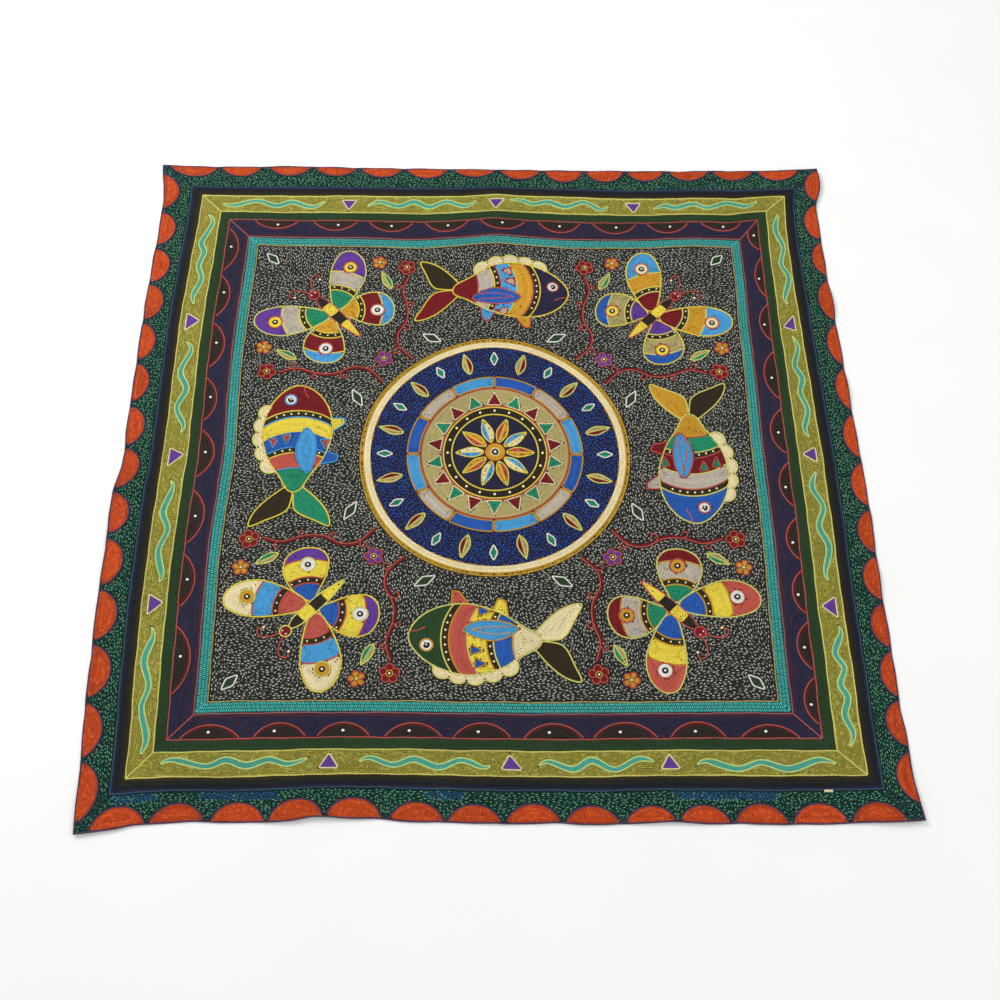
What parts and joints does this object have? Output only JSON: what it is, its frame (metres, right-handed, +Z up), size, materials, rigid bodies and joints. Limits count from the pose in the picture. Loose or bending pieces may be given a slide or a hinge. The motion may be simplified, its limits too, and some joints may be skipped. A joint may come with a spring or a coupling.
{
  "type": "embroidered wall hanging",
  "caption": "Square cotton hanging, thickly covered in hand stitching with banded borders and a figured panel, laid out flat with softly uneven edges.",
  "frame": {"origin": "middle of the cloth's outline, on the surface that it lies on", "axes": "+Z up out of the stitched face, +Y towards the top edge of the design, +X to the right of the design"},
  "size_m": [1.1128, 1.1038, 0.0085],
  "materials": {
    "stitched_cloth": "thick matt cotton embroidery over a black ground",
    "tab_cotton": "plain matt cotton tape"
  },
  "bodies": {
    "root": {"cloth": "stitched_cloth", "tab": "tab_cotton"}
  },
  "joints": []
}
